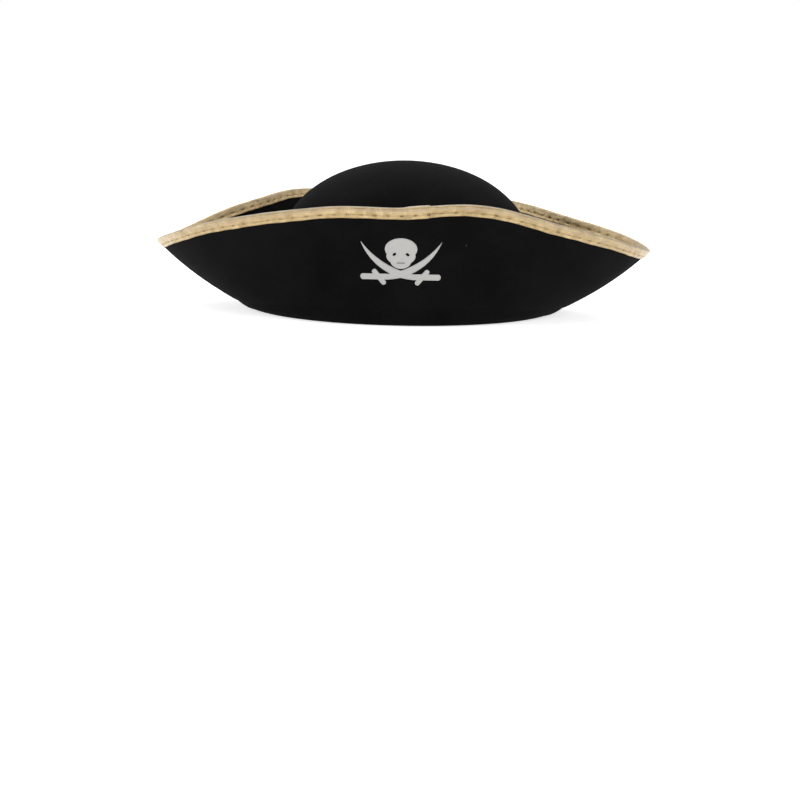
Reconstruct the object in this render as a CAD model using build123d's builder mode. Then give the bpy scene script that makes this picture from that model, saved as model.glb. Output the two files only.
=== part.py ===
"""Moulded felt pirate hat: domed crown, brim turned up in three lobes, gold edge tape, printed front.

Frame: X to the viewer's right when the printed front is looked at, -Y out of the front, Z up.
The origin is the centre of the head opening, in the plane that the hat rests on. Millimetres.
Angles run round Z from the front (-Y) towards +X.
"""

from build123d import *
from math import atan2, cos, degrees, hypot, radians, sin, sqrt, tan
import os

# Felt
FELT = 2.0                      # thickness of the moulded felt
CROWN_HALF_X = 89.5             # outer half width of the crown
CROWN_HALF_Y = 96.25            # outer half length of the crown
CROWN_TOP = 106.0               # height of the top of the dome
CROWN_SHOULDER = 46.0           # height at which the straight side turns into the dome
HEAD_LINE = 9.0                 # height at which the crown meets the brim
FOLD_HALF_X = 108.5             # half width of the fold where the brim turns up
FOLD_HALF_Y = 113.0             # half length of that fold
FOLD_RADIUS = 4.0               # bend radius of the felt's middle layer at both of the brim's bends
FLOOR_PRESS = 0.1               # felt pressed off the underside, so that the brim rests on one level face
FLOOR_MIDDLE = FELT / 2 - FLOOR_PRESS   # height of the felt's middle layer along the floor
FRONT_BOW = 0.03                # hollow of the turned-up wall at front and back, as a share of its height
SIDE_BOW = -0.047               # the same at the two sides, where the wall bulges instead
BRIM_SHIFT = -3.2               # how far along X the brim sits off the crown's centre

# The rim of the brim: angle in degrees, reach from the brim's centre, height
RIM = [
    (0, 130.0, 79.0), (20, 142.0, 82.0), (38, 158.0, 71.5), (59, 171.5, 57.5),
    (75, 177.5, 48.0), (90, 172.0, 49.0), (104, 154.0, 56.5), (114, 133.5, 63.5),
    (123, 128.5, 67.0), (146, 139.5, 71.5), (165, 152.5, 74.0), (180, 159.5, 74.0),
    (197, 157.5, 75.0), (216, 146.5, 75.5), (234, 136.5, 70.0), (242, 142.0, 65.5),
    (253, 165.5, 51.0), (265, 173.0, 45.5), (284, 173.0, 50.0), (308, 166.0, 64.5),
    (328, 152.0, 75.0), (344, 137.0, 79.5),
]

# Edge tape
TAPE = 0.7                      # thickness of the doubled metallic tape
TAPE_DEPTH = 6.2                # how far the tape reaches down each face of the brim
TAPE_LAP = 12.0                 # overlap where the two ends of the tape meet
LAP_MIDDLE = 0.012              # middle of that overlap, as a share of the rim's length
STITCH_PITCH = 9.0              # spacing of the stitches along the rim
STITCH_LENGTH = 4.6             # visible length of one stitch
STITCH_DEPTH = 3.6              # distance of the stitch row below the folded edge
THREAD_RADIUS = 0.3             # sewing thread
CLEARANCE = 0.45                # air between the thread and the tape or band under it

# Printed emblem
EMBLEM_Z = 44.5                 # height of the emblem's centre, which is in the middle of the brim's front
FILM = 0.3                      # thickness of the printed film
FILM_GAP = 0.05                 # air between the film and the felt
SABRE_GAP = 0.6                 # unprinted line between the skull and the sabres
EMBLEM_REACH = 60.0             # length of the prism that is cut out of the film
SKULL = [(8.4, 10.8, 7.3), (3.6, 9.7, 6.2), (0.6, 7.1, 5.7)]    # ellipses: height, half width, half height

# Inside of the crown
BAND_WIDTH = 25.0               # height of the sweatband
BAND_BOTTOM = 5.5               # height of the sweatband's lower edge
BAND = 0.8                      # thickness of the sweatband
BAND_GAP = 0.1                  # air between the sweatband and the felt
BAND_LAP_ANGLE = 9.0            # half of the angle over which the band's ends overlap, at the back
BAND_STITCH_PITCH = 6.0
BAND_STITCH_LENGTH = 4.0
BAND_STITCH_HEIGHT = 3.0        # height of the stitch row above the band's lower edge
LABEL_SHARE = 0.17              # place of the sewn-in label, as a share of the band's length from +X
LABEL_WIDTH = 20.0
LABEL_LENGTH = 18.0
LABEL = 0.4                     # thickness of the folded label

# Resolution of the lofts
SECTIONS = 72                   # sections round the brim
SECTORS = 3                     # lofts that the brim is made of
EMBLEM_SECTIONS = 9             # sections across the printed part of the front wall
EMBLEM_SPAN = 15.0              # half of the angle that they cover


def ray(angle):
    """Unit vector from the Z axis at an angle from the front."""
    return Vector(sin(radians(angle)), -cos(radians(angle)), 0)


def upright(angle):
    """Vertical plane through the Z axis: its x is the outward ray and its y is up."""
    return Plane(origin=(0, 0, 0), x_dir=ray(angle), z_dir=ray(angle).cross(Vector(0, 0, 1)))


def oval_reach(angle, half_x, half_y, shift=0.0):
    """Distance from the Z axis, along a ray, to an ellipse whose centre lies off the axis along X."""
    spread = (sin(radians(angle)) / half_x) ** 2 + (cos(radians(angle)) / half_y) ** 2
    lean = sin(radians(angle)) * shift / half_x ** 2
    return (lean + sqrt(lean ** 2 + spread * (1 - (shift / half_x) ** 2))) / spread


rim_line = Spline(
    *[reach * ray(angle) + Vector(BRIM_SHIFT, 0, height) for angle, reach, height in RIM],
    periodic=True,
)


def rim_at(share):
    """Angle, reach and height of the rim at a share of its length."""
    point = rim_line @ (share % 1.0)
    return degrees(atan2(point.X, -point.Y)), hypot(point.X, point.Y), point.Z


def wall_arc(angle, reach, height):
    """Three points of the turned-up wall's middle layer, from fold to rim, in the upright plane."""
    fold = Vector(oval_reach(angle, FOLD_HALF_X, FOLD_HALF_Y, BRIM_SHIFT), FLOOR_MIDDLE)
    rim = Vector(reach, height)
    chord = rim - fold
    inward = Vector(-chord.Y, chord.X).normalized()
    bow = SIDE_BOW + (FRONT_BOW - SIDE_BOW) * cos(radians(angle)) ** 2
    return fold, (fold + rim) / 2 + inward * chord.length * bow, rim


def wall_frame(angle, reach, height, depth):
    """Point of the wall a given depth below the rim, and the wall's outward normal there."""
    with BuildLine(mode=Mode.PRIVATE):
        arc = ThreePointArc(*wall_arc(angle, reach, height))
    share = 1 - depth / arc.length
    along = arc % share
    return arc @ share, Vector(along.Y, -along.X)


def share_range(first, last, count):
    """Evenly spaced shares from first to last, both included."""
    return [first + (last - first) * step / (count - 1) for step in range(count)]


def sector_shares(sector):
    """Shares of the rim's length at the sections of one sector of the brim."""
    return share_range(sector / SECTORS, (sector + 1) / SECTORS, SECTIONS // SECTORS + 1)


def brim_section(share):
    """Foot of the crown, flat floor, fold and wall of the brim, as one bent strip of felt."""
    angle, reach, height = rim_at(share)
    foot = oval_reach(angle, CROWN_HALF_X, CROWN_HALF_Y) - FELT / 2
    fold, middle, rim = wall_arc(angle, reach, height)
    with BuildSketch(upright(angle)) as section:
        with BuildLine() as strip:
            Line((foot, HEAD_LINE + FELT), (foot, FLOOR_MIDDLE))
            Line((foot, FLOOR_MIDDLE), fold)
            ThreePointArc(fold, middle, rim)
            bends = [v for v in strip.vertices() if abs(v.Y - FLOOR_MIDDLE) < 0.001]
            fillet(bends, FOLD_RADIUS)
            offset(amount=FELT / 2, side=Side.BOTH)
        make_face()
    return section.sketch


def tape_section(share, thickness):
    """Fat strip that wraps the top of the wall, before the felt is cut out of it."""
    angle, reach, height = rim_at(share)
    lower, _ = wall_frame(angle, reach, height, TAPE_DEPTH)
    with BuildSketch(upright(angle)) as section:
        with BuildLine():
            Line(lower, (reach, height))
            offset(amount=FELT / 2 + thickness, side=Side.BOTH)
        make_face()
    return section.sketch


def stitch_point(share, stand_off):
    """Point of a stitch row at a share of the rim's length, a distance from the middle of the felt."""
    angle, reach, height = rim_at(share)
    point, outward = wall_frame(angle, reach, height, STITCH_DEPTH)
    place = point + outward * stand_off
    return ray(angle) * place.X + Vector(0, 0, place.Y)


def stitch_planes(side):
    """Planes of the rim stitches on the outer (+1) or inner (-1) face, their z along the thread."""
    count = round(rim_line.length / STITCH_PITCH)
    half = STITCH_LENGTH / 2 / rim_line.length
    planes = []
    for step in range(count):
        share = (step + 0.5) / count
        layers = 2 if abs(share - LAP_MIDDLE) < 1 / count else 1
        stand_off = side * (FELT / 2 + layers * TAPE + CLEARANCE + THREAD_RADIUS)
        start = stitch_point(share - half, stand_off)
        end = stitch_point(share + half, stand_off)
        planes.append(Plane(origin=(start + end) / 2, z_dir=end - start))
    return planes


def finish(part, name):
    """Label a finished piece and write it out."""
    part.label = name
    export_step(part, f"parts/{name}.step")
    print(f"{name}: {len(part.solids())} solids, {part.volume:.0f} mm3, valid {part.is_valid}")


def dome(half_x, half_y, top, shoulder):
    """Solid crown shape standing on the head line: straight sides, then half an ellipsoid."""
    with BuildPart() as solid:
        with BuildSketch(Plane.XZ):
            with BuildLine():
                Line((0, HEAD_LINE), (half_x, HEAD_LINE))
                Line((half_x, HEAD_LINE), (half_x, shoulder))
                EllipticalCenterArc((0, shoulder), half_x, top - shoulder, start_angle=0, arc_size=90)
                Line((0, top), (0, HEAD_LINE))
            make_face()
        revolve(axis=Axis.Z)
        scale(by=(1, half_y / half_x, 1))
    return solid.part


os.makedirs("parts", exist_ok=True)

# Crown: open dome of felt
crown_outside = dome(CROWN_HALF_X, CROWN_HALF_Y, CROWN_TOP, CROWN_SHOULDER)
crown_inside = dome(CROWN_HALF_X - FELT, CROWN_HALF_Y - FELT, CROWN_TOP - FELT, CROWN_SHOULDER)
with BuildPart() as crown:
    add(crown_outside)
    add(crown_inside, mode=Mode.SUBTRACT)
finish(crown.part, "crown")

# Brim: foot, floor, fold and turned-up wall, cut level where the crown stands on it and underneath
with BuildPart() as brim:
    for sector in range(SECTORS):
        for share in sector_shares(sector):
            add(brim_section(share))
        loft()
    with BuildSketch(Plane.XY.offset(HEAD_LINE)):
        Ellipse(CROWN_HALF_X + FELT, CROWN_HALF_Y + FELT)
    extrude(amount=2 * FELT, mode=Mode.SUBTRACT)
    with BuildSketch():
        Circle(2 * FOLD_HALF_Y)
    extrude(amount=-FELT, mode=Mode.SUBTRACT)
finish(brim.part, "brim")

# Edge tape: folded over the rim, its ends lapped near the middle of the front
lap_half = TAPE_LAP / 2 / rim_line.length
with BuildPart() as edge_tape:
    for sector in range(SECTORS):
        for share in sector_shares(sector):
            add(tape_section(share, TAPE))
        loft()
    for share in share_range(LAP_MIDDLE - lap_half, LAP_MIDDLE + lap_half, 3):
        add(tape_section(share, 2 * TAPE))
    loft()
    add(brim.part, mode=Mode.SUBTRACT)
finish(edge_tape.part, "edge_tape")

# Stitches that hold the tape: one row on each face of the brim
for side, name in ((1, "tape_stitches_outer"), (-1, "tape_stitches_inner")):
    planes = stitch_planes(side)
    with BuildPart() as stitches:
        with Locations(*planes):
            Cylinder(THREAD_RADIUS, STITCH_LENGTH)
    finish(stitches.part, name)


def film_section(share):
    """Thin strip lying on the outside of the front wall."""
    angle, reach, height = rim_at(share)
    inner = FELT / 2 + FILM_GAP
    depths = share_range(TAPE_DEPTH + TAPE, height - 2 * FELT, 3)
    frames = [wall_frame(angle, reach, height, depth) for depth in depths]
    near = [point + outward * inner for point, outward in frames]
    far = [point + outward * (inner + FILM) for point, outward in frames]
    with BuildSketch(upright(angle)) as section:
        with BuildLine():
            ThreePointArc(*near)
            Line(near[2], far[2])
            ThreePointArc(*far)
            Line(far[0], near[0])
        make_face()
    return section.sketch


# Film that follows the front wall, from which the emblem is cut
film_shares = share_range(-EMBLEM_SPAN / 360, EMBLEM_SPAN / 360, EMBLEM_SECTIONS)
with BuildPart() as film:
    for share in film_shares:
        add(film_section(share))
    loft()

emblem_plane = Plane(origin=(BRIM_SHIFT, -CROWN_HALF_Y, EMBLEM_Z), x_dir=(1, 0, 0), z_dir=(0, -1, 0))

# Skull: cranium, cheeks and jaw from ellipses, with two slanted eyes and a short mouth
with BuildSketch(emblem_plane) as skull_print:
    for height, half_x, half_y in SKULL:
        with Locations((0, height)):
            Ellipse(half_x, half_y)
    with Locations(Location((-4.4, 4.7), 35), Location((4.4, 4.7), -35)):
        Ellipse(1.4, 0.9, mode=Mode.SUBTRACT)
    with Locations((0, -1.1)):
        SlotOverall(5.4, 0.5, mode=Mode.SUBTRACT)

with BuildPart() as emblem_skull:
    add(skull_print.sketch)
    extrude(amount=EMBLEM_REACH, dir=emblem_plane.z_dir)
    add(film.part, mode=Mode.INTERSECT)
finish(emblem_skull.part, "emblem_skull")

# Sabres: a crescent blade that runs into its hilt, a slanted guard, and their mirror image
with BuildSketch(emblem_plane) as sabres_print:
    with BuildLine():
        ThreePointArc((27.1, 13.6), (14.7, 1.4), (-8.0, -8.6))
        Line((-8.0, -8.6), (-25.5, -8.6))
        ThreePointArc((-25.5, -8.6), (-26.8, -10.8), (-24.0, -12.6))
        Line((-24.0, -12.6), (-10.5, -12.6))
        ThreePointArc((-10.5, -12.6), (12.5, -5.2), (27.1, 13.6))
    make_face()
    with Locations(Location((-14.4, -10.8), -50)):
        SlotOverall(13.0, 3.4)
    mirror(about=Plane.YZ)
    for height, half_x, half_y in SKULL:
        with Locations((0, height)):
            Ellipse(half_x + SABRE_GAP, half_y + SABRE_GAP, mode=Mode.SUBTRACT)

with BuildPart() as emblem_sabres:
    add(sabres_print.sketch)
    extrude(amount=EMBLEM_REACH, dir=emblem_plane.z_dir)
    add(film.part, mode=Mode.INTERSECT)
finish(emblem_sabres.part, "emblem_sabres")


def band_oval(inset):
    """Ellipse that runs round the inside of the crown, a given distance inside the felt."""
    return Ellipse(CROWN_HALF_X - FELT - inset, CROWN_HALF_Y - FELT - inset, mode=Mode.PRIVATE)


def band_layer(inset):
    """Face of one layer of the sweatband, seen from above."""
    with BuildSketch(Plane.XY.offset(BAND_BOTTOM)) as layer:
        add(band_oval(inset))
        add(band_oval(inset + BAND), mode=Mode.SUBTRACT)
    return layer


# Sweatband: one tape round the inside of the crown, its ends lapped at the back
far_y = 2 * CROWN_HALF_Y
far_x = far_y * tan(radians(BAND_LAP_ANGLE))
with BuildSketch(Plane.XY.offset(BAND_BOTTOM)) as band_lap:
    add(band_layer(BAND_GAP + BAND).sketch_local)
    with BuildLine():
        Polyline((0, 0), (far_x, far_y), (-far_x, far_y), close=True)
    make_face(mode=Mode.INTERSECT)

with BuildPart() as sweatband:
    add(band_layer(BAND_GAP).sketch)
    add(band_lap.sketch)
    extrude(amount=BAND_WIDTH)
finish(sweatband.part, "sweatband")


def band_plane(share, inset, height):
    """Plane against the inside of the sweatband: x along the band, z level and across it."""
    line = band_oval(inset).edges()[0]
    along = line % share
    level = line @ share
    return Plane(origin=(level.X, level.Y, height), x_dir=along, z_dir=along.cross(Vector(0, 0, 1)))


def band_stitch_planes():
    """Planes of the stitches that hold the sweatband, their x along the thread."""
    face = BAND_GAP + BAND + CLEARANCE + THREAD_RADIUS
    count = round(band_oval(face).edges()[0].length / BAND_STITCH_PITCH)
    planes = []
    for step in range(count):
        share = (step + 0.5) / count
        plane = band_plane(share, face, BAND_BOTTOM + BAND_STITCH_HEIGHT)
        off_back = degrees(atan2(abs(plane.origin.X), plane.origin.Y))
        if off_back < BAND_LAP_ANGLE + 2:
            plane = band_plane(share, face + BAND, BAND_BOTTOM + BAND_STITCH_HEIGHT)
        planes.append(plane)
    return planes


band_planes = band_stitch_planes()
with BuildPart() as sweatband_stitches:
    with Locations(*band_planes):
        Cylinder(THREAD_RADIUS, BAND_STITCH_LENGTH, rotation=(0, 90, 0))
finish(sweatband_stitches.part, "sweatband_stitches")

# Label: a blank folded tab that hangs from the sweatband's upper edge at the back
label_sag = LABEL_WIDTH ** 2 / 8 / CROWN_HALF_X
label_inset = BAND_GAP + BAND + CLEARANCE + label_sag + LABEL
label_height = BAND_BOTTOM + BAND_WIDTH - LABEL_LENGTH / 2
label_plane = band_plane(LABEL_SHARE, label_inset, label_height)
with BuildPart() as care_label:
    with Locations(label_plane):
        Box(LABEL_WIDTH, LABEL_LENGTH, LABEL)
finish(care_label.part, "care_label")
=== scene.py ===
from math import atan2, cos, degrees, pi, radians, sin

import bmesh
import bpy
import numpy as np
from mathutils import Matrix, Vector
from mathutils.bvhtree import BVHTree


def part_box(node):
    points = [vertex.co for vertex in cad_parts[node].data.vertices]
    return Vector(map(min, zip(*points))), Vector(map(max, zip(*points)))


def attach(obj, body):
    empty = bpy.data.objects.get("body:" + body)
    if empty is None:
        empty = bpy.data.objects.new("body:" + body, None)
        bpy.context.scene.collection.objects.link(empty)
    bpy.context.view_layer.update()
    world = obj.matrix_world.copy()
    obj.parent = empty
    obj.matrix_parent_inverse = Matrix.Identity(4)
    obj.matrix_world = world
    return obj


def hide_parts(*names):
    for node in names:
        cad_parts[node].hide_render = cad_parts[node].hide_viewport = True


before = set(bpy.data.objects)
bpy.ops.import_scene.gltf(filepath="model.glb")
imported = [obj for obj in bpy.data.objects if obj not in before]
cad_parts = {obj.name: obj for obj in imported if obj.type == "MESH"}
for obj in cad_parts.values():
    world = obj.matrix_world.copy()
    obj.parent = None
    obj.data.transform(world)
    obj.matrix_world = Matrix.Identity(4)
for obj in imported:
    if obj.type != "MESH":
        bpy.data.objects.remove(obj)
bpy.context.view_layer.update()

# The hat's frame: X to the viewer's right at the printed front, -Y out of the front, Z up. Metres.
# Angles run round Z from the front (-Y) towards +X. "Share" is a share of the rim's length.

MM = 0.001

# ---------------------------------------------------------------- driving dimensions
FELT = 2.0 * MM                 # thickness of the felt
CROWN_HALF_X = 89.5 * MM        # outer half width of the crown
CROWN_HALF_Y = 96.25 * MM       # outer half length of the crown
CROWN_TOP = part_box("crown")[1][2]
CROWN_SHOULDER = 46.0 * MM      # where the straight side turns into the dome
FOLD_HALF_X = 108.5 * MM        # half width and length of the fold where the brim turns up
FOLD_HALF_Y = 113.0 * MM
BEND = 3.6 * MM                 # tangent length of the felt's two bends
FRONT_BOW = 0.03                # hollow of the wall at front and back, as a share of its height
SIDE_BOW = -0.047               # the same at the sides, where the wall bulges instead
BRIM_SHIFT = -3.2 * MM          # how far along X the brim sits off the crown's centre
RIM = [
    (0, 130.0, 79.0), (20, 142.0, 82.0), (38, 158.0, 71.5), (59, 171.5, 57.5),
    (75, 177.5, 48.0), (90, 172.0, 49.0), (104, 154.0, 56.5), (114, 133.5, 63.5),
    (123, 128.5, 67.0), (146, 139.5, 71.5), (165, 152.5, 74.0), (180, 159.5, 74.0),
    (197, 157.5, 75.0), (216, 146.5, 75.5), (234, 136.5, 70.0), (242, 142.0, 65.5),
    (253, 165.5, 51.0), (265, 173.0, 45.5), (284, 173.0, 50.0), (308, 166.0, 64.5),
    (328, 152.0, 75.0), (344, 137.0, 79.5),
]                               # angle in degrees, reach from the brim's centre and height in millimetres

TAPE = 0.55 * MM                # thickness of the doubled tape
TAPE_DEPTH = 6.2 * MM           # how far it reaches down each face of the wall
TAPE_LAP = 12.0 * MM            # overlap of its two ends
LAP_MIDDLE = 0.012              # middle of that overlap, as a share of the rim
STITCH_DEPTH = 3.6 * MM         # stitch row below the folded edge
STITCH_PITCH = 9.0 * MM
STITCH_LENGTH = 5.4 * MM
THREAD = 0.24 * MM              # radius of the sewing thread

BAND_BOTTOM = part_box("sweatband")[0][2]
BAND_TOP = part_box("sweatband")[1][2]
BAND = 0.8 * MM                 # thickness of the sweatband
BAND_GAP = 0.1 * MM             # air between it and the felt
BAND_LAP_ANGLE = 9.0            # half of the angle at the back over which it is two layers thick
BAND_PITCH = 6.0 * MM           # spacing of its stitches
BAND_STITCH = 4.0 * MM          # length of one of them
LABEL_WIDTH = 20.0 * MM

EMBLEM_Z = 44.5 * MM
FILM = 0.12 * MM                # thickness of the printed film
SABRE_GAP = 0.6                 # millimetres, as the emblem's outline is
SKULL = [(8.4, 10.8, 7.3), (3.6, 9.7, 6.2), (0.6, 7.1, 5.7)]

COLUMNS = 480                   # columns of the felt mesh round the hat
DOME_ROWS = 46                  # its rows down the dome,
SIDE_ROWS = 12                  # down the crown's straight side, its two ends counted
WALL_ROWS = 44                  # and up the turned-up wall
WALL_SPAN = 78.0 * MM           # length that those rows are taken to cover, from the fold up
TAPE_COLUMNS = 2600             # columns of the tape mesh round the rim
TAPE_ROWS = 26                  # rows down each of its faces
LINING_ROWS = (0, 4, 10, 18, TAPE_ROWS - 1)     # those of them that the side against the felt keeps


# ---------------------------------------------------------------- the rim and the felt's middle layer
def closed_spline(points, knots):
    """Periodic cubic spline through points; returns a function of the spline's parameter."""
    count = len(points)
    gaps = np.diff(knots)
    slopes = (np.roll(points, -1, axis=0) - points) / gaps[:, None]
    system = np.zeros((count, count))
    for row in range(count):
        before = gaps[row - 1]
        system[row, row - 1] = before
        system[row, row] = 2 * (before + gaps[row])
        system[row, (row + 1) % count] = gaps[row]
    bends = np.linalg.solve(system, 6 * (slopes - np.roll(slopes, 1, axis=0)))

    def at(places):
        places = np.mod(places, knots[-1])
        span = np.clip(np.searchsorted(knots, places, side="right") - 1, 0, count - 1)
        after = (span + 1) % count
        gap = gaps[span][:, None]
        left = (knots[span + 1] - places)[:, None]
        right = (places - knots[span])[:, None]
        return (
            (bends[span] * left ** 3 + bends[after] * right ** 3) / (6 * gap)
            + (points[span] / gap - bends[span] * gap / 6) * left
            + (points[after] / gap - bends[after] * gap / 6) * right
        )

    return at


def rim_table():
    """Dense points of the rim, and how far along it each one is."""
    angles, reaches, heights = (np.array(column, float) for column in zip(*RIM))
    turn = np.radians(angles)
    points = np.stack([reaches * np.sin(turn), -reaches * np.cos(turn), heights], axis=1) * MM
    points[:, 0] += BRIM_SHIFT
    steps = np.linalg.norm(np.roll(points, -1, axis=0) - points, axis=1)
    knots = np.concatenate([[0.0], np.cumsum(steps)])
    dense = closed_spline(points, knots)(np.linspace(0, knots[-1], 8001)[:-1])
    dense = np.vstack([dense, dense[:1]])
    along = np.concatenate([[0.0], np.cumsum(np.linalg.norm(np.diff(dense, axis=0), axis=1))])
    return dense, along


rim_points, rim_along = rim_table()
RIM_LENGTH = rim_along[-1]


def rim_at(shares):
    """Angle, reach and height of the rim at an array of shares of its length."""
    places = np.mod(shares, 1.0) * RIM_LENGTH
    x, y, z = (np.interp(places, rim_along, rim_points[:, axis]) for axis in range(3))
    return np.arctan2(x, -y), np.hypot(x, y), z


def oval_reach(turn, half_x, half_y, shift=0.0):
    """Distance from the Z axis, at an array of angles, to an ellipse centred off the axis along X."""
    spread = (np.sin(turn) / half_x) ** 2 + (np.cos(turn) / half_y) ** 2
    lean = np.sin(turn) * shift / half_x ** 2
    return (lean + np.sqrt(lean ** 2 + spread * (1 - (shift / half_x) ** 2))) / spread


def waviness(turn, height):
    """Gentle unevenness of hand-pressed felt, in metres, which fades out towards the fold."""
    grown = np.clip(height / (60 * MM), 0, 1) ** 1.5
    wave = (
        0.55 * np.sin(5 * turn + 0.8 + 26 * height)
        + 0.40 * np.sin(9 * turn + 2.1 - 45 * height)
        + 0.28 * np.sin(17 * turn + 4.0 + 70 * height)
        + 0.16 * np.sin(31 * turn + 0.5 - 120 * height)
    )
    return wave * grown * 0.55 * MM


def wall_point(turn, reach, height, climb):
    """Middle layer of the turned-up wall; climb goes from 0 at the fold to 1 at the rim."""
    fold_r = oval_reach(turn, FOLD_HALF_X, FOLD_HALF_Y, BRIM_SHIFT)
    fold_z = FELT / 2
    run, rise = reach - fold_r, height - fold_z
    bow = 4 * (SIDE_BOW + (FRONT_BOW - SIDE_BOW) * np.cos(turn) ** 2) * climb * (1 - climb)
    r = fold_r + run * climb - rise * bow
    z = fold_z + rise * climb + run * bow
    push = waviness(turn, z)
    length = np.hypot(run, rise)
    return r + push * rise / length, z - push * run / length


def to_space(turn, r, z):
    """Points from angles, distances from the Z axis and heights."""
    return np.stack([r * np.sin(turn), -r * np.cos(turn), z], axis=-1)


def blend_corner(start, corner, end, count):
    """Rounded corner: points of a parabola between two profile points, without its last one."""
    steps = np.linspace(0, 1, count, endpoint=False)
    return [
        tuple((1 - t) ** 2 * a + 2 * t * (1 - t) * b + t ** 2 * c for a, b, c in zip(start, corner, end))
        for t in steps
    ]


def felt_rows(turn, reach, height):
    """Profile of the middle layer from the crown's top to the rim, as arrays over the columns."""
    crown_r = oval_reach(turn, CROWN_HALF_X - FELT / 2, CROWN_HALF_Y - FELT / 2)
    top = CROWN_TOP - FELT / 2
    rows = []
    for tilt in np.radians(np.linspace(1.2, 90, DOME_ROWS)):
        rows.append((crown_r * sin(tilt), CROWN_SHOULDER + (top - CROWN_SHOULDER) * cos(tilt) + 0 * turn))
    for z in np.linspace(CROWN_SHOULDER, FELT / 2 + BEND, SIDE_ROWS)[1:-1]:
        rows.append((crown_r, z + 0 * turn))
    ground = FELT / 2 + 0 * turn
    fold_r = oval_reach(turn, FOLD_HALF_X, FOLD_HALF_Y, BRIM_SHIFT)
    wall_length = np.hypot(reach - fold_r, height - FELT / 2)
    rows += blend_corner((crown_r, ground + BEND), (crown_r, ground), (crown_r + BEND, ground), 7)
    for part in np.linspace(0, 1, 5)[:-1]:
        rows.append((crown_r + BEND + part * (fold_r - crown_r - 2 * BEND), ground))
    first = BEND / wall_length
    rows += blend_corner(
        (fold_r - BEND, ground), (fold_r, ground), wall_point(turn, reach, height, first), 9)
    for part in np.linspace(0, 1, WALL_ROWS):
        rows.append(wall_point(turn, reach, height, first + (1 - first) * part))
    return rows


def grid_normals(points, across_closed):
    """Unit normals of a grid of points whose first axis closes on itself."""
    if across_closed:
        around = np.roll(points, -1, axis=0) - np.roll(points, 1, axis=0)
    else:
        around = np.gradient(points, axis=0)
    down = np.gradient(points, axis=1)
    normals = np.cross(around, down)
    return normals / np.linalg.norm(normals, axis=-1, keepdims=True)


# ---------------------------------------------------------------- mesh helpers
def mesh_object(name, points, faces, smooth=True):
    """New object from a list of points and a list of faces."""
    mesh = bpy.data.meshes.new(name)
    mesh.from_pydata([tuple(p) for p in points], [], [tuple(f) for f in faces])
    mesh.validate()
    mesh.update()
    if smooth:
        mesh.shade_smooth()
    piece = bpy.data.objects.new(name, mesh)
    bpy.context.scene.collection.objects.link(piece)
    return piece


def grid_faces(columns, rows, closed_columns, closed_rows, start=0):
    """Quads of a grid whose points run row by row inside each column."""
    faces = []
    for i in range(columns if closed_columns else columns - 1):
        a = start + i * rows
        b = start + (i + 1) % columns * rows
        for j in range(rows if closed_rows else rows - 1):
            k = (j + 1) % rows
            faces.append((a + j, a + k, b + k, b + j))
    return faces


def add_attribute(piece, name, values):
    """Float value for each point, which a material can read."""
    layer = piece.data.attributes.new(name, "FLOAT", "POINT")
    layer.data.foreach_set("value", np.asarray(values, dtype=np.float32))


def outward_faces(piece):
    """Turn every face of a closed mesh outward."""
    work = bmesh.new()
    work.from_mesh(piece.data)
    bmesh.ops.recalc_face_normals(work, faces=work.faces)
    work.to_mesh(piece.data)
    work.free()


def dress(piece, material, slot, *nodes):
    """Give a piece its material and its body, and hide the CAD nodes it stands for; the slot argument is not
    used.
    """
    piece.data.materials.clear()
    piece.data.materials.append(material)
    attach(piece, "root")
    if nodes:
        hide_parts(*nodes)
    return piece


# ---------------------------------------------------------------- materials
class Nodes:
    """Short way to write a node material."""

    def __init__(self, name):
        self.material = bpy.data.materials.new(name)
        self.material.use_nodes = True
        self.tree = self.material.node_tree
        self.shader = self.tree.nodes["Principled BSDF"]

    def add(self, kind, inputs=None, **settings):
        node = self.tree.nodes.new(kind)
        for key, value in settings.items():
            setattr(node, key, value)
        for key, value in (inputs or {}).items():
            self.set(node, key, value)
        return node

    def set(self, node, key, value):
        socket = node.inputs[key]
        if isinstance(value, bpy.types.NodeSocket):
            self.tree.links.new(value, socket)
        else:
            socket.default_value = value

    def place(self, scale=(1, 1, 1)):
        """Object coordinates in metres, stretched by a scale."""
        coords = self.add("ShaderNodeTexCoord")
        mapping = self.add("ShaderNodeMapping", {"Vector": coords.outputs["Object"], "Scale": scale})
        return mapping.outputs["Vector"]

    def noise(self, scale, detail=4.0, rough=0.6, vector=None):
        inputs = {"Scale": scale, "Detail": detail, "Roughness": rough}
        inputs["Vector"] = vector if vector is not None else self.place()
        return self.add("ShaderNodeTexNoise", inputs).outputs["Fac"]

    def math(self, operation, a, b=0.0, c=0.0):
        node = self.add("ShaderNodeMath", operation=operation)
        for index, value in enumerate((a, b, c)):
            self.set(node, index, value)
        return node.outputs[0]

    def ramp(self, value, low, high, out_low, out_high):
        node = self.add("ShaderNodeMapRange", {
            "Value": value, "From Min": low, "From Max": high, "To Min": out_low, "To Max": out_high})
        return node.outputs["Result"]

    def mix(self, factor, a, b):
        node = self.add("ShaderNodeMix", data_type="RGBA")
        self.set(node, 0, factor)
        self.set(node, 6, a)
        self.set(node, 7, b)
        return node.outputs[2]

    def attribute(self, name):
        return self.add("ShaderNodeAttribute", attribute_name=name).outputs["Fac"]

    def bump(self, height, strength, distance, normal=None):
        inputs = {"Height": height, "Strength": strength, "Distance": distance}
        if normal is not None:
            inputs["Normal"] = normal
        return self.add("ShaderNodeBump", inputs).outputs["Normal"]

    def finish(self, **sockets):
        for key, value in sockets.items():
            self.set(self.shader, key.replace("_", " "), value)
        return self.material


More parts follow.
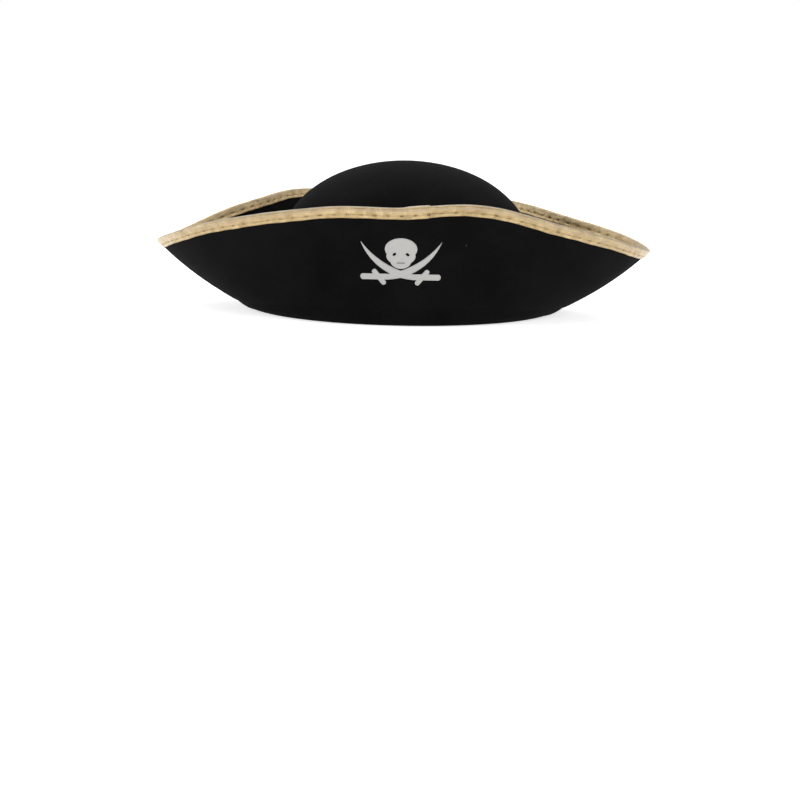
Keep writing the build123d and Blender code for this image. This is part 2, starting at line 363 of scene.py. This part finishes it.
def felt_material():
    """Matte black polyester felt: short fibres brushed sideways, faint cloudiness and stray lint."""
    n = Nodes("felt")
    brushed = n.noise(900, 5, 0.65, n.place((1.0, 1.0, 3.2)))
    fibres = n.noise(2600, 3, 0.7)
    cloud = n.noise(28, 4, 0.55)
    shade = n.math("ADD", n.math("MULTIPLY", brushed, 0.55), n.math("MULTIPLY", cloud, 0.45))
    colour = n.mix(n.ramp(shade, 0.36, 0.64, 0, 1), (0.0022, 0.0022, 0.0024, 1), (0.0058, 0.0056, 0.0058, 1))
    specks = n.add("ShaderNodeTexVoronoi", {"Vector": n.place((1, 1, 0.6)), "Scale": 75.0, "Randomness": 1.0})
    chance = n.add("ShaderNodeSeparateColor", {"Color": specks.outputs["Color"]}).outputs["Red"]
    near = n.ramp(specks.outputs["Distance"], 0.016, 0.030, 1, 0)
    lint = n.math("MULTIPLY", near, n.math("GREATER_THAN", chance, 0.965))
    colour = n.mix(n.math("MULTIPLY", lint, 0.5), colour, (0.30, 0.29, 0.28, 1))
    relief = n.bump(brushed, 0.55, 0.00035)
    relief = n.bump(fibres, 0.45, 0.00012, relief)
    relief = n.bump(cloud, 0.25, 0.0012, relief)
    return n.finish(
        Base_Color=colour, Roughness=n.ramp(fibres, 0.3, 0.7, 0.86, 1.0), Specular_IOR_Level=0.03,
        Sheen_Weight=0.006, Sheen_Roughness=0.45, Sheen_Tint=(0.75, 0.75, 0.8, 1), Normal=relief)


def tape_material():
    """Woven metallic tape: bright gold faces, a greyer ribbed fold with painted shade and painted highlights
    on its ribs, and painted shade in the stitch dimples and along the lower edge.
    """
    n = Nodes("gold_tape")
    along = n.attribute("along")
    across = n.attribute("across")
    ribs = n.math("SINE", n.math("MULTIPLY", along, 2 * pi / (1.4 * MM)))
    fold = n.ramp(n.math("ABSOLUTE", across), 0.35 * MM, 0.95 * MM, 1, 0)
    warp = n.math("SINE", n.math("MULTIPLY", along, 2 * pi / (0.55 * MM)))
    weft = n.math("SINE", n.math("MULTIPLY", across, 2 * pi / (0.62 * MM)))
    weave = n.math("MULTIPLY", warp, weft)
    blotch = n.noise(160, 4, 0.6)
    fleck = n.noise(1500, 2, 0.6)
    stain = n.math("ADD", n.math("MULTIPLY", blotch, 0.6), n.math("MULTIPLY", fleck, 0.4))
    tint = n.ramp(stain, 0.35, 0.65, 0, 1)
    gold = n.mix(tint, (0.26, 0.180, 0.080, 1), (0.55, 0.415, 0.230, 1))
    # The fold's own greyer colour, with painted shade in the furrows between its ribs and painted highlights
    # on their crests.
    fold_grey_and_highlight = n.mix(n.ramp(ribs, -0.4, 0.6, 0, 1), (0.06, 0.050, 0.036, 1), (0.62, 0.56, 0.46, 1))
    colour = n.mix(n.math("MULTIPLY", fold, 0.72), gold, fold_grey_and_highlight)
    # Painted shade: the stitch row darkens, most of all in the dimples where the thread dives into the tape.
    painted_stitch_shade = n.attribute("groove")
    colour = n.mix(n.math("MULTIPLY", painted_stitch_shade, 0.9), colour, (0.045, 0.030, 0.014, 1))
    # Painted shade: the tape darkens over its last 0.7 mm towards its rolled lower edge, where it meets the
    # felt.
    painted_edge_shade = n.ramp(n.math("ABSOLUTE", across), TAPE_DEPTH - 0.7 * MM, TAPE_DEPTH, 0, 0.75)
    colour = n.mix(painted_edge_shade, colour, (0.16, 0.11, 0.05, 1))
    crumple = n.noise(420, 3, 0.55, n.place((1, 1, 0.7)))
    relief = n.bump(weave, 0.35, 0.00008)
    relief = n.bump(n.math("MULTIPLY", ribs, n.ramp(fold, 0, 1, 0.10, 1.0)), 0.55, 0.00016, relief)
    relief = n.bump(crumple, 0.75, 0.0009, relief)
    return n.finish(
        Base_Color=colour, Metallic=0.9, Roughness=n.ramp(fleck, 0.3, 0.7, 0.26, 0.42), Normal=relief)


def thread_material(name, dark, light):
    """Twisted sewing thread."""
    n = Nodes(name)
    twist = n.noise(2400, 3, 0.6, n.place((1, 1, 2.5)))
    colour = n.mix(n.ramp(twist, 0.35, 0.65, 0, 1), dark, light)
    return n.finish(
        Base_Color=colour, Roughness=0.6, Sheen_Weight=0.1, Normal=n.bump(twist, 0.5, 0.0001))


def print_material():
    """Light grey screen print, thin enough for the felt's grain to show through."""
    n = Nodes("print")
    grain = n.noise(1100, 5, 0.65, n.place((1.0, 1.0, 2.4)))
    pores = n.noise(3200, 2, 0.6)
    mottled = n.mix(n.ramp(grain, 0.32, 0.68, 0, 1), (0.34, 0.335, 0.32, 1), (0.42, 0.415, 0.40, 1))
    colour = n.mix(n.ramp(pores, 0.66, 0.74, 0, 0.5), mottled, (0.20, 0.20, 0.20, 1))
    relief = n.bump(grain, 0.5, 0.00025)
    return n.finish(Base_Color=colour, Roughness=n.ramp(grain, 0.3, 0.7, 0.60, 0.80), Normal=relief)


def band_material():
    """Black twill tape with fine diagonal ribs."""
    n = Nodes("band_tape")
    along = n.attribute("along")
    across = n.attribute("across")
    diagonal = n.math("SINE", n.math("MULTIPLY", n.math("ADD", along, across), 2 * pi / (0.9 * MM)))
    threads = n.math("SINE", n.math("MULTIPLY", along, 2 * pi / (0.35 * MM)))
    cloud = n.noise(90, 3, 0.6)
    shade = n.math("ADD", n.math("MULTIPLY", diagonal, 0.2), cloud)
    colour = n.mix(n.ramp(shade, 0.2, 0.9, 0, 1), (0.008, 0.008, 0.009, 1), (0.024, 0.024, 0.026, 1))
    relief = n.bump(diagonal, 0.6, 0.00012)
    relief = n.bump(threads, 0.3, 0.00005, relief)
    return n.finish(Base_Color=colour, Roughness=0.78, Sheen_Weight=0.08, Normal=relief)


def label_material():
    """White satin ribbon, blank."""
    n = Nodes("label_satin")
    threads = n.noise(1800, 3, 0.6, n.place((1, 1, 0.15)))
    colour = n.mix(n.ramp(threads, 0.3, 0.7, 0, 1), (0.66, 0.66, 0.64, 1), (0.82, 0.82, 0.80, 1))
    return n.finish(Base_Color=colour, Roughness=0.42, Normal=n.bump(threads, 0.3, 0.00008))


# ---------------------------------------------------------------- felt: crown and brim in one skin
def felt_body():
    """One closed skin over both faces of the moulded felt."""
    turn, reach, height = rim_at(np.arange(COLUMNS) / COLUMNS)
    rows = felt_rows(turn, reach, height)
    middle = np.stack([to_space(turn, r, z) for r, z in rows], axis=1)
    normals = grid_normals(middle, True)
    flat = np.stack([np.zeros(COLUMNS), np.zeros(COLUMNS), np.ones(COLUMNS)], axis=-1)
    if normals[0, 3, 2] < 0:
        normals = -normals
    normals[:, 0] = flat
    lift = np.zeros(len(rows))
    distance = np.linspace(0, WALL_SPAN, WALL_ROWS)
    lift[-WALL_ROWS:] = (
        0.55 * MM * np.exp(-((distance - 1.0 * MM) / (3.2 * MM)) ** 2)
        - 0.42 * MM * np.exp(-((distance - 7.2 * MM) / (1.5 * MM)) ** 2)
    )
    upper = middle + normals * (FELT / 2)
    lower = middle - normals * (FELT / 2 + lift)[None, :, None]
    edge_out = middle[:, -1] - middle[:, -2]
    edge_out /= np.linalg.norm(edge_out, axis=-1, keepdims=True)
    caps = []
    for tilt in np.radians((45, 90, 135)):
        caps.append(middle[:, -1] + FELT / 2 * (cos(tilt) * normals[:, -1] + sin(tilt) * edge_out))
    ring = np.concatenate([upper, np.stack(caps, axis=1), lower[:, ::-1]], axis=1)
    rows_round = ring.shape[1]
    points = list(ring.reshape(-1, 3))
    faces = grid_faces(COLUMNS, rows_round, True, False)
    for row, z in ((0, CROWN_TOP), (rows_round - 1, CROWN_TOP - FELT)):
        pole = len(points)
        points.append((0.0, 0.0, z))
        for i in range(COLUMNS):
            a, b = i * rows_round + row, (i + 1) % COLUMNS * rows_round + row
            faces.append((a, b, pole))
    piece = mesh_object("felt_body", points, faces)
    outward_faces(piece)
    return piece


# ---------------------------------------------------------------- gold tape round the rim
def bell(values, centre, width):
    """Smooth bump of height 1."""
    return np.exp(-((values - centre) / width) ** 2)


STITCHES = round(RIM_LENGTH / STITCH_PITCH)


def rim_strip(shares, depths):
    """Middle layer, normals and upward direction of the wall at shares along and depths below the rim."""
    turn, reach, height = rim_at(shares)
    fold_r = oval_reach(turn, FOLD_HALF_X, FOLD_HALF_Y, BRIM_SHIFT)
    length = np.hypot(reach - fold_r, height - FELT / 2)
    columns = []
    for depth in depths:
        r, z = wall_point(turn, reach, height, 1 - depth / length)
        columns.append(to_space(turn, r, z))
    middle = np.stack(columns, axis=1)
    normals = grid_normals(middle, False)
    inward = -np.stack([np.sin(turn), -np.cos(turn), 0 * turn], axis=-1)
    if np.sum(normals[:, 0] * inward) < 0:
        normals = -normals
    upward = middle[:, 0] - middle[:, 1]
    return middle, normals, upward / np.linalg.norm(upward, axis=-1, keepdims=True)


def tape_relief(share, depth, side):
    """Height of the tape's face over its mean thickness: groove, dimples, puckers and rolled edge."""
    phase = np.mod(share * STITCHES, 1.0)
    row = bell(depth, STITCH_DEPTH, 0.55 * MM)
    dimple = bell(np.minimum(phase, 1 - phase), 0.0, 0.10)
    edge_roll = bell(depth, TAPE_DEPTH - 0.9 * MM, 0.7 * MM)
    belly = bell(depth, 1.5 * MM, 1.2 * MM)
    slow = np.sin(2 * pi * share * 47 + 1.7 * side) * np.sin(2 * pi * share * 31 + side)
    pull = np.cos(2 * pi * phase) * bell(depth, STITCH_DEPTH, 1.6 * MM)
    return MM * (
        -0.06 * row - 0.50 * row * dimple + 0.08 * edge_roll + 0.10 * belly
        + 0.10 * slow - 0.09 * pull
    )


def tape_strip():
    """The tape: one strip folded over the rim, its far end lapped over its near end."""
    lap = TAPE_LAP / RIM_LENGTH
    shares = np.linspace(LAP_MIDDLE - lap / 2, LAP_MIDDLE + lap / 2 + 1, TAPE_COLUMNS)
    depths = np.linspace(0, TAPE_DEPTH, TAPE_ROWS)
    middle, normals, upward = rim_strip(shares, depths)
    over = np.clip((shares - (LAP_MIDDLE - lap / 2 + 1) + lap / 2) / (lap / 2), 0, 1)
    over = (TAPE + 0.1 * MM) * over * over * (3 - 2 * over)
    wobble = 1 + 0.022 * np.sin(2 * pi * shares * 23) + 0.016 * np.sin(2 * pi * shares * 61 + 1)
    columns, across, groove = [], [], []
    phase = np.mod(shares * STITCHES, 1.0)
    dimple = bell(np.minimum(phase, 1 - phase), 0.0, 0.15)

    def face(side, order):
        for j in order:
            relief = tape_relief(shares, depths[j] * np.ones_like(shares), side)
            out = FELT / 2 + TAPE + relief + over
            if j == TAPE_ROWS - 1:
                out = FELT / 2 + 0.55 * TAPE + over
            place = middle[:, j] + side * normals[:, j] * out[:, None]
            slide = (wobble - 1) * depths[j]
            columns.append(place - upward * slide[:, None])
            across.append(side * depths[j] * np.ones_like(shares))
            # Painted shade for the stitch row, strongest at the dimples; the tape's material darkens the tape
            # by it.
            painted_dimple_shade = bell(depths[j], STITCH_DEPTH, 0.42 * MM) * (0.03 + 0.97 * dimple)
            groove.append(painted_dimple_shade)

    face(-1, reversed(range(TAPE_ROWS)))
    for tilt in np.radians(np.linspace(168, 12, 14)):
        out = FELT / 2 + TAPE + over + 0.10 * MM * np.sin(tilt)
        side = cos(tilt)
        columns.append(middle[:, 0] + out[:, None] * (side * normals[:, 0] + sin(tilt) * upward))
        across.append((side * 1.2 * MM) * np.ones_like(shares))
        groove.append(np.zeros_like(shares))
    face(1, range(TAPE_ROWS))
    for side, order in ((1, LINING_ROWS[::-1]), (-1, LINING_ROWS)):
        for j in order:
            out = FELT / 2 + 0.03 * MM + np.where(over > 0, over - 0.05 * MM, 0)
            columns.append(middle[:, j] + side * normals[:, j] * out[:, None])
            across.append(side * depths[j] * np.ones_like(shares))
            groove.append(np.zeros_like(shares))
    rows = len(columns)
    points = np.stack(columns, axis=1).reshape(-1, 3)
    faces = grid_faces(TAPE_COLUMNS, rows, False, True)
    faces.append(tuple(range(rows)))
    faces.append(tuple((TAPE_COLUMNS - 1) * rows + j for j in range(rows - 1, -1, -1)))
    piece = mesh_object("edge_tape_cloth", points, faces)
    outward_faces(piece)
    add_attribute(piece, "along", np.repeat(shares * RIM_LENGTH, rows))
    add_attribute(piece, "across", np.stack(across, axis=1).reshape(-1))
    add_attribute(piece, "groove", np.stack(groove, axis=1).reshape(-1))
    return piece


# ---------------------------------------------------------------- threads
def thread_piece(name, paths):
    """Short round threads with tapered ends, one for each path."""
    points, faces = [], []
    sides = 7
    for path in paths:
        path = np.asarray(path)
        start = len(points)
        tangents = np.gradient(path, axis=0)
        radii = THREAD * np.sin(np.linspace(0.5, pi - 0.5, len(path))) ** 0.4
        for centre, tangent, radius in zip(path, tangents, radii):
            along = Vector(tangent).normalized()
            first = along.orthogonal().normalized()
            second = along.cross(first)
            for k in range(sides):
                turn = 2 * pi * k / sides
                points.append(Vector(centre) + (first * cos(turn) + second * sin(turn)) * float(radius))
        faces += grid_faces(len(path), sides, False, True, start)
        faces.append(tuple(start + k for k in range(sides)))
        last = start + (len(path) - 1) * sides
        faces.append(tuple(last + k for k in range(sides - 1, -1, -1)))
    piece = mesh_object(name, points, faces)
    outward_faces(piece)
    return piece


def rim_stitches(name, side):
    """The stitches on one face of the tape: each dives into a dimple at both ends."""
    paths = []
    half = STITCH_LENGTH / 2 / RIM_LENGTH
    local = np.linspace(-1, 1, 9)
    for step in range(STITCHES):
        centre = (step + 0.5) / STITCHES
        shares = centre + half * local
        middle, normals, _ = rim_strip(shares, np.array([STITCH_DEPTH, STITCH_DEPTH + 0.1 * MM]))
        doubled = TAPE + 0.1 * MM if abs(centre - LAP_MIDDLE) < 1.2 / STITCHES else 0
        arch = FELT / 2 + TAPE + doubled + (0.06 - 0.42 * local ** 4) * MM
        paths.append(middle[:, 0] + side * normals[:, 0] * arch[:, None])
    return thread_piece(name, paths)


# ---------------------------------------------------------------- printed emblem
def ellipse_outline(height, half_x, half_y, count=96):
    """Points of an ellipse on the emblem's upright axis."""
    turns = 2 * pi * np.arange(count) / count
    return [(half_x * cos(t), height + half_y * sin(t)) for t in turns]


def arc_through(start, middle, end, count):
    """Points of the circular arc through three points, without the last one."""
    (ax, ay), (bx, by), (cx, cy) = start, middle, end
    d = 2 * (ax * (by - cy) + bx * (cy - ay) + cx * (ay - by))
    aa, bb, cc = (x ** 2 + y ** 2 for x, y in (start, middle, end))
    ux = (aa * (by - cy) + bb * (cy - ay) + cc * (ay - by)) / d
    uy = (aa * (cx - bx) + bb * (ax - cx) + cc * (bx - ax)) / d
    radius = ((ax - ux) ** 2 + (ay - uy) ** 2) ** 0.5
    first, half, last = (atan2(y - uy, x - ux) for x, y in (start, middle, end))
    sweep = (last - first) % (2 * pi)
    if (half - first) % (2 * pi) > sweep:
        sweep -= 2 * pi
    return [(ux + radius * cos(first + sweep * k / count), uy + radius * sin(first + sweep * k / count))
            for k in range(count)]


def sabre_outline():
    """Crescent blade that runs into a straight hilt."""
    return (
        arc_through((27.1, 13.6), (14.7, 1.4), (-8.0, -8.6), 40)
        + [(-8.0, -8.6)]
        + arc_through((-25.5, -8.6), (-26.8, -10.8), (-24.0, -12.6), 10)
        + [(-24.0, -12.6)]
        + arc_through((-10.5, -12.6), (12.5, -5.2), (27.1, 13.6), 50)
    )


def slot_outline(centre, length, width, tilt, count=12):
    """Rounded bar, used for the guards and the mouth."""
    reach, radius = (length - width) / 2, width / 2
    points = []
    for end, base in ((1, -pi / 2), (-1, pi / 2)):
        for k in range(count + 1):
            turn = base + pi * k / count
            x, y = end * reach + radius * cos(turn), radius * sin(turn)
            points.append((
                centre[0] + x * cos(tilt) - y * sin(tilt), centre[1] + x * sin(tilt) + y * cos(tilt)))
    return points


def mirrored(outline):
    """The outline on the other side of the emblem's upright axis."""
    return [(-x, y) for x, y in reversed(outline)]


def prism(name, outline, depth=1.0):
    """Closed upright prism over an outline, used to add and cut flat shapes."""
    count = len(outline)
    points = [(x, y, -depth) for x, y in outline] + [(x, y, depth) for x, y in outline]
    faces = [tuple(range(count - 1, -1, -1)), tuple(range(count, 2 * count))]
    faces += [(k, (k + 1) % count, count + (k + 1) % count, count + k) for k in range(count)]
    piece = mesh_object(name, points, faces, smooth=False)
    outward_faces(piece)
    return piece


def combine(base, tools, operation):
    """Add prisms to a prism or cut them out of it."""
    for tool in tools:
        change = base.modifiers.new("combine", "BOOLEAN")
        change.operation = operation
        change.object = tool
        change.solver = "EXACT"
        depsgraph = bpy.context.evaluated_depsgraph_get()
        mesh = bpy.data.meshes.new_from_object(base.evaluated_get(depsgraph))
        base.modifiers.clear()
        base.data = mesh
        bpy.data.objects.remove(tool)
    return base


def flat_shape(prism_piece, cell=1.6):
    """Upper face of a prism as a flat sheet, cut along a grid so that it can bend."""
    work = bmesh.new()
    work.from_mesh(prism_piece.data)
    top = [f for f in work.faces if f.normal.z > 0.9]
    bmesh.ops.delete(work, geom=[f for f in work.faces if f not in set(top)], context="FACES")
    for v in work.verts:
        v.co.z = 0
    reach = 30
    for axis in (0, 1):
        for step in np.arange(-reach, reach, cell):
            place, normal = Vector((0, 0, 0)), Vector((0, 0, 0))
            place[axis] = step + 0.013
            normal[axis] = 1
            geometry = list(work.verts) + list(work.edges) + list(work.faces)
            bmesh.ops.bisect_plane(work, geom=geometry, plane_co=place, plane_no=normal)
    bmesh.ops.triangulate(work, faces=work.faces)
    work.to_mesh(prism_piece.data)
    work.free()
    return prism_piece


def print_on_wall(piece, wall):
    """Lay a flat shape on the outside of the front wall and give it the film's thickness."""
    work = bmesh.new()
    work.from_mesh(piece.data)
    start_y = -0.3
    for v in work.verts:
        x, z = BRIM_SHIFT + v.co.x * MM, EMBLEM_Z + v.co.y * MM
        place, normal, _, _ = wall.ray_cast(Vector((x, start_y, z)), Vector((0, 1, 0)))
        v.co = place + normal * 0.03 * MM
    sheet = list(work.faces)
    bmesh.ops.recalc_face_normals(work, faces=sheet)
    if sum(f.normal.y for f in sheet) > 0:
        bmesh.ops.reverse_faces(work, faces=sheet)
    work.normal_update()
    bmesh.ops.solidify(work, geom=sheet, thickness=-FILM)
    work.to_mesh(piece.data)
    work.free()
    piece.data.shade_smooth()
    outward_faces(piece)
    return piece


def skull_shape():
    """Cranium, cheeks and jaw, with two slanted eyes and a short mouth cut out."""
    base = prism("emblem_skull_print", ellipse_outline(*SKULL[0]))
    combine(base, [prism("tool", ellipse_outline(*e)) for e in SKULL[1:]], "UNION")
    holes = []
    for side in (-1, 1):
        tilt = radians(-35 * side)
        eye = [(side * 4.4 + 1.4 * cos(t) * cos(tilt) - 0.9 * sin(t) * sin(tilt),
                4.7 + 1.4 * cos(t) * sin(tilt) + 0.9 * sin(t) * cos(tilt))
               for t in 2 * pi * np.arange(32) / 32]
        holes.append(prism("tool", eye, 2.0))
    holes.append(prism("tool", slot_outline((0, -1.1), 5.4, 0.45, 0.0), 2.0))
    return flat_shape(combine(base, holes, "DIFFERENCE"))


def sabre_shapes():
    """Two crossed sabres with slanted guards, cut back from the skull's outline."""
    base = prism("emblem_sabres_print", sabre_outline())
    guard = slot_outline((-14.4, -10.8), 13.0, 3.4, radians(-50))
    extra = [prism("tool", guard), prism("tool", mirrored(sabre_outline())), prism("tool", mirrored(guard))]
    combine(base, extra, "UNION")
    cuts = [prism("tool", ellipse_outline(z, a + SABRE_GAP, b + SABRE_GAP), 2.0) for z, a, b in SKULL]
    return flat_shape(combine(base, cuts, "DIFFERENCE"))


# ---------------------------------------------------------------- inside the crown
def band_oval(inset, count):
    """Points of the oval that runs round the inside of the crown, from +X by way of the back."""
    turns = 2 * pi * np.arange(count) / count
    half_x, half_y = CROWN_HALF_X - FELT - inset, CROWN_HALF_Y - FELT - inset
    return np.stack([half_x * np.cos(turns), half_y * np.sin(turns)], axis=1), turns


def sweatband():
    """Woven tape as a ring inside the crown, two layers thick at the back, where its ends would lap."""
    count, rows = 720, 20
    oval, turns = band_oval(0, count)
    outward = np.stack([np.cos(turns) / CROWN_HALF_X, np.sin(turns) / CROWN_HALF_Y], axis=1)
    outward /= np.linalg.norm(outward, axis=1, keepdims=True)
    back = np.degrees(np.abs(np.angle(np.exp(1j * (turns - pi / 2)))))
    lap = np.clip((BAND_LAP_ANGLE + 1.5 - back) / 1.5, 0, 1)
    lap = lap * lap * (3 - 2 * lap)
    points, along, across = [], [], []
    step = np.cumsum(np.linalg.norm(np.roll(oval, -1, axis=0) - oval, axis=1))
    for i in range(count):
        for j in range(rows):
            face = 1 if j < rows // 2 else -1
            part = j / (rows // 2 - 1) if face == 1 else (rows - 1 - j) / (rows // 2 - 1)
            z = BAND_BOTTOM + (BAND_TOP - BAND_BOTTOM) * part
            roll = 0.22 * MM * (bell(part, 0.0, 0.07) + bell(part, 1.0, 0.07))
            inset = BAND_GAP + roll
            if face == -1:
                ripple = 0.18 * MM * sin(9 * turns[i] + 0.7) * part
                inset = BAND_GAP + BAND + lap[i] * BAND - roll + ripple
            x, y = oval[i] - outward[i] * inset
            points.append((x, y, z))
            along.append(step[i])
            across.append(z)
    piece = mesh_object("sweatband_tape", points, grid_faces(count, rows, True, True))
    outward_faces(piece)
    add_attribute(piece, "along", along)
    add_attribute(piece, "across", across)
    return piece


def sweatband_stitches():
    """Row of thread along the sweatband's lower edge."""
    oval, _ = band_oval(BAND_GAP + BAND, 7200)
    steps = np.concatenate([[0.0], np.cumsum(np.linalg.norm(np.diff(oval, axis=0), axis=1))])
    count = round(steps[-1] / BAND_PITCH)
    local = np.linspace(-1, 1, 7)
    paths = []
    for k in range(count):
        places = (k + 0.5) * steps[-1] / count + local * BAND_STITCH / 2
        x, y = (np.interp(places, steps, oval[:, axis]) for axis in (0, 1))
        off_back = abs(degrees(atan2(x[3], y[3])))
        sunk = BAND if off_back < BAND_LAP_ANGLE + 0.5 else 0.0
        shrink = 1 - (sunk + (0.12 - 0.4 * local ** 4) * MM) / np.hypot(x, y)
        paths.append(np.stack([x * shrink, y * shrink, 0 * x + BAND_BOTTOM + 3 * MM], axis=1))
    return thread_piece("sweatband_thread", paths)


def care_label():
    """Blank ribbon folded double; it hangs from the band's upper edge and curls a little."""
    low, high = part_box("care_label")
    centre = (Vector(low) + Vector(high)) / 2
    across = Vector((-centre.y / CROWN_HALF_Y ** 2, centre.x / CROWN_HALF_X ** 2, 0)).normalized()
    inward = Vector((-centre.x / CROWN_HALF_X ** 2, -centre.y / CROWN_HALF_Y ** 2, 0)).normalized()
    top, bottom = high[2], low[2]
    wide, tall = 21, 19
    outline = []
    for j in range(2 * tall):
        front = j < tall
        part = j / (tall - 1) if front else (2 * tall - 1 - j) / (tall - 1)
        fold = 0.32 * MM * (1 - bell(part, 0.0, 0.05))
        outline.append((top + (bottom - top) * part, fold if front else 0.0))
    points = []
    for i in range(wide):
        side = (2 * i / (wide - 1) - 1)
        for z, off in outline:
            hang = (top - z) / (top - bottom)
            curl = 0.5 * MM * hang ** 2 * (0.4 + side ** 2) - 0.25 * MM * side ** 2
            place = centre + across * (side * LABEL_WIDTH / 2) + inward * (off - 0.1 * MM + curl)
            points.append((place.x, place.y, z))
    faces = grid_faces(wide, 2 * tall, False, True)
    faces.append(tuple(range(2 * tall)))
    faces.append(tuple((wide - 1) * 2 * tall + j for j in range(2 * tall - 1, -1, -1)))
    piece = mesh_object("care_label_ribbon", points, faces)
    outward_faces(piece)
    return piece


# ---------------------------------------------------------------- studio
VIEW_DISTANCE = 1.5             # camera to the hat's origin
VIEW_ELEVATION = 6.5            # degrees above the plane that the hat stands on
VIEW_ROLL = 1.2                 # degrees
AIM_BELOW = 2.5676              # degrees that the lens points below the hat's origin
AIM_BESIDE = 0.1304             # and to the left of it
LENS = 92.925                   # millimetres of focal length, on a sensor of
SENSOR = 36.0                   # this many millimetres


def camera():
    """Long lens, a little above the table, turned so that the hat stands in the upper half."""
    data = bpy.data.cameras.new("camera")
    data.sensor_width = SENSOR
    data.lens = LENS
    data.clip_end = 100
    view = bpy.data.objects.new("camera", data)
    bpy.context.scene.collection.objects.link(view)
    lift = radians(VIEW_ELEVATION)
    place = Vector((0, -VIEW_DISTANCE * cos(lift), VIEW_DISTANCE * sin(lift)))
    aim = Matrix.Rotation(pi / 2 - lift, 4, "X")
    roll = Matrix.Rotation(radians(VIEW_ROLL), 4, "Z")
    tilt = Matrix.Rotation(radians(-AIM_BELOW), 4, "X")
    turn = Matrix.Rotation(radians(AIM_BESIDE), 4, "Y")
    view.matrix_world = Matrix.Translation(place) @ aim @ roll @ turn @ tilt
    bpy.context.scene.camera = view


def soft_light(name, place, size, power):
    """Soft box of a width and a height, aimed at the hat."""
    data = bpy.data.lights.new(name, "AREA")
    data.shape = "RECTANGLE"
    data.size, data.size_y = size
    data.energy = power
    lamp = bpy.data.objects.new(name, data)
    bpy.context.scene.collection.objects.link(lamp)
    lamp.location = place
    aim = Vector((0, 0, 0.04)) - Vector(place)
    lamp.rotation_euler = aim.to_track_quat("-Z", "Y").to_euler()


def studio():
    """Pale floor, even white surroundings and soft boxes."""
    bpy.ops.mesh.primitive_circle_add(vertices=96, radius=40, fill_type="NGON", location=(0, 0, -0.3 * MM))
    floor = bpy.context.object
    floor.name = "floor"
    n = Nodes("floor")
    grain = n.noise(3.0, 2, 0.5)
    colour = n.mix(grain, (0.80, 0.80, 0.80, 1), (0.82, 0.82, 0.82, 1))
    floor.data.materials.append(n.finish(
        Base_Color=colour, Roughness=0.9, Emission_Color=(1, 1, 1, 1), Emission_Strength=0.70))
    world = bpy.data.worlds.new("world")
    bpy.context.scene.world = world
    world.use_nodes = True
    tree = world.node_tree
    coords = tree.nodes.new("ShaderNodeTexCoord")
    parts = tree.nodes.new("ShaderNodeSeparateXYZ")
    height = tree.nodes.new("ShaderNodeMapRange")
    height.interpolation_type = "SMOOTHSTEP"
    for key, value in (("From Min", 0.10), ("From Max", 0.45), ("To Min", 1.0), ("To Max", 0.62)):
        height.inputs[key].default_value = value
    tree.links.new(coords.outputs["Generated"], parts.inputs["Vector"])
    tree.links.new(parts.outputs["Z"], height.inputs["Value"])
    tree.links.new(height.outputs["Result"], tree.nodes["Background"].inputs["Strength"])
    tree.nodes["Background"].inputs["Color"].default_value = (1, 1, 1, 1)
    soft_light("key", (-0.6, -0.9, 1.5), (0.6, 0.6), 6)
    soft_light("side", (1.4, -0.5, 0.9), (0.5, 0.5), 5)
    soft_light("left", (-1.3, 0.35, 0.62), (0.7, 0.6), 4.5)
    soft_light("top", (0.1, -0.1, 1.8), (0.9, 0.9), 7)
    soft_light("back", (0.0, 1.1, 1.5), (2.6, 0.7), 20)
    bpy.context.scene.view_settings.view_transform = "Standard"


# ---------------------------------------------------------------- making
camera()
studio()

felt = dress(felt_body(), felt_material(), "felt", "crown", "brim")
felt_work = bmesh.new()
felt_work.from_mesh(felt.data)
felt_wall = BVHTree.FromBMesh(felt_work)
felt_work.free()

tape = dress(tape_strip(), tape_material(), "gold_tape", "edge_tape")
gold_thread = thread_material("gold_thread", (0.22, 0.15, 0.06, 1), (0.50, 0.38, 0.18, 1))
dress(rim_stitches("tape_thread_outer", -1), gold_thread, "gold_thread", "tape_stitches_outer")
dress(rim_stitches("tape_thread_inner", 1), gold_thread, "gold_thread", "tape_stitches_inner")

ink = print_material()
dress(print_on_wall(skull_shape(), felt_wall), ink, "print", "emblem_skull")
dress(print_on_wall(sabre_shapes(), felt_wall), ink, "print", "emblem_sabres")

band = dress(sweatband(), band_material(), "band_tape", "sweatband")
black_thread = thread_material("black_thread", (0.010, 0.010, 0.011, 1), (0.030, 0.030, 0.032, 1))
dress(sweatband_stitches(), black_thread, "black_thread", "sweatband_stitches")
label = dress(care_label(), label_material(), "label_satin", "care_label")
